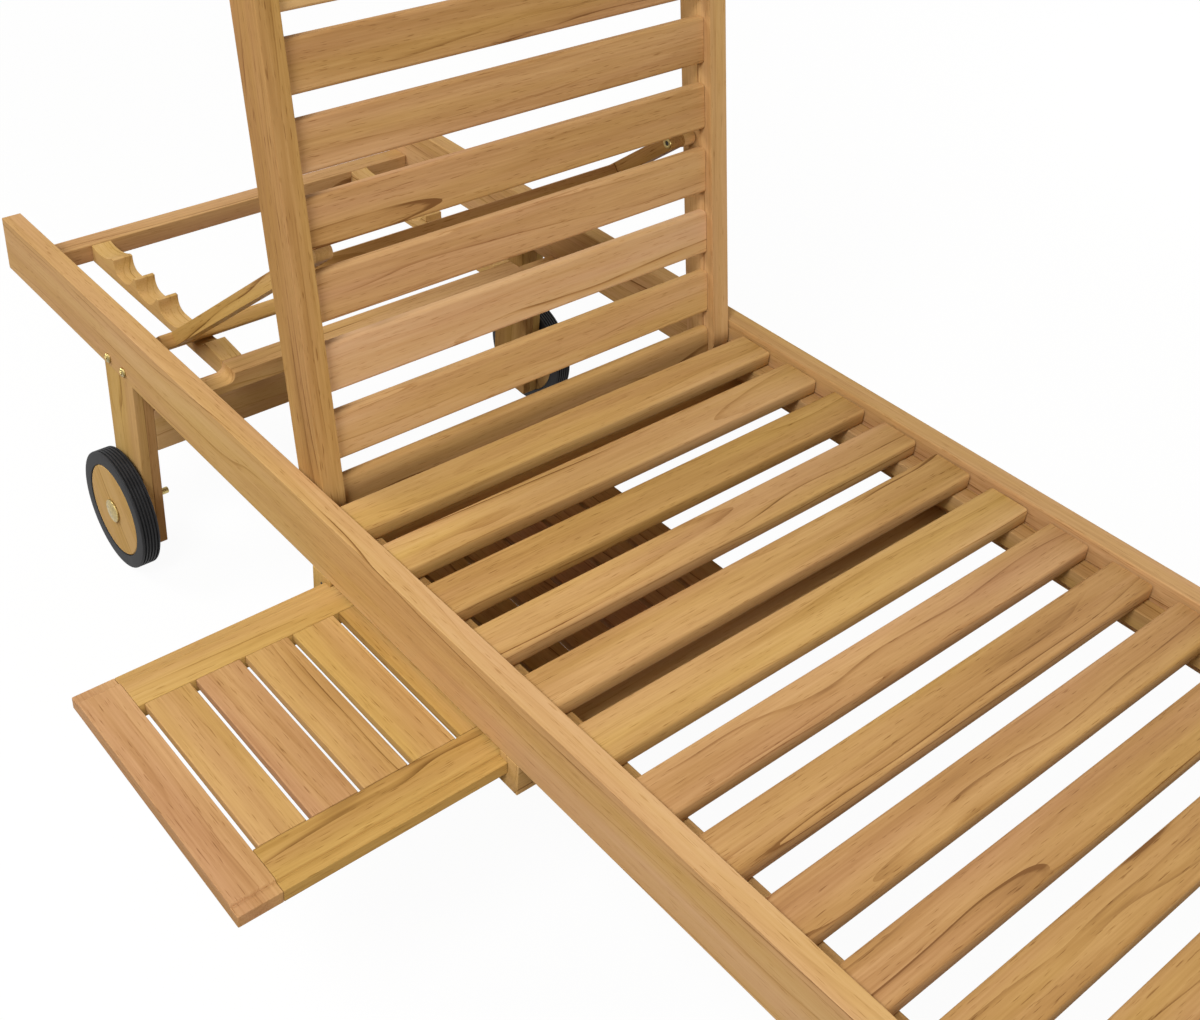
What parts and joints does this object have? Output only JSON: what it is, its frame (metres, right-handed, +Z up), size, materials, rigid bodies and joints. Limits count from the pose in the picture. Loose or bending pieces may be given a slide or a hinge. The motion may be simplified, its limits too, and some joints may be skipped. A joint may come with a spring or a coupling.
{
  "type": "sun lounger",
  "caption": "Slatted teak sun lounger with a notched reclining backrest on a hinged prop, a pull-out side table on grooved runners, and wheels under its head end.",
  "frame": {"origin": "on the floor, under the middle of the whole lounger with its table pulled out", "axes": "+Z up, +Y along the rails to the head end, -X to the side where the table comes out"},
  "size_m": [0.9762, 2, 1.0584],
  "materials": {
    "teak": "sanded and lightly oiled",
    "rubber": "matt black, ribbed",
    "brass": "satin"
  },
  "bodies": {
    "frame": {"near_rail": "teak", "far_rail": "teak", "head_rail": "teak", "rack_rail": "teak", "foot_rail": "teak", "near_rack": "teak", "far_rack": "teak", "near_cleat": "teak", "far_cleat": "teak", "seat_slat_01": "teak", "seat_slat_02": "teak", "seat_slat_03": "teak", "seat_slat_04": "teak", "seat_slat_05": "teak", "seat_slat_06": "teak", "seat_slat_07": "teak", "seat_slat_08": "teak", "seat_slat_09": "teak", "seat_slat_10": "teak", "seat_slat_11": "teak", "seat_slat_12": "teak", "seat_slat_13": "teak", "seat_slat_14": "teak", "seat_slat_15": "teak", "near_wheel_leg": "teak", "far_wheel_leg": "teak", "wheel_stretcher": "teak", "near_foot_leg": "teak", "far_foot_leg": "teak", "head_runner": "teak", "foot_runner": "teak", "near_hinge_pin": "brass", "far_hinge_pin": "brass", "near_axle": "brass", "far_axle": "brass"},
    "backrest": {"near_stile": "teak", "far_stile": "teak", "back_slat_01": "teak", "back_slat_02": "teak", "back_slat_03": "teak", "back_slat_04": "teak", "back_slat_05": "teak", "back_slat_06": "teak", "back_slat_07": "teak", "back_slat_08": "teak", "back_slat_09": "teak", "back_top_rail": "teak", "near_prop_pin": "brass", "far_prop_pin": "brass"},
    "prop": {"near_prop_leg": "teak", "far_prop_leg": "teak", "prop_bar": "teak", "prop_tie": "teak"},
    "table": {"table_panel": "teak", "table_head_rail": "teak", "table_foot_rail": "teak"},
    "near_wheel": {"near_tyre": "rubber", "near_wheel_disc": "teak"},
    "far_wheel": {"far_tyre": "rubber", "far_wheel_disc": "teak"}
  },
  "joints": [
    {"name": "backrest_hinge", "type": "hinge", "parent": "frame", "child": "backrest", "pos_m": [0.1258, 0.2604, 0.3388], "axis": [1, 0, 0], "range_deg": [-80, 0]},
    {"name": "prop_pivot", "type": "hinge", "parent": "backrest", "child": "prop", "pos_m": [0.1258, 0.31723, 0.59431], "axis": [1, 0, 0], "range_deg": [0, 118.4]},
    {"name": "table_slide", "type": "slide", "parent": "frame", "child": "table", "axis": [1, 0, 0], "range_m": [0, 0.2839]},
    {"name": "near_wheel_spin", "type": "hinge", "parent": "frame", "child": "near_wheel", "pos_m": [-0.2197, 0.6744, 0.0817], "axis": [1, 0, 0], "continuous": true},
    {"name": "far_wheel_spin", "type": "hinge", "parent": "frame", "child": "far_wheel", "pos_m": [0.4713, 0.6744, 0.0817], "axis": [1, 0, 0], "continuous": true}
  ],
  "couplings": [
    {"joint": "prop_pivot", "follows": "backrest_hinge", "ratio": -1.4797}
  ]
}
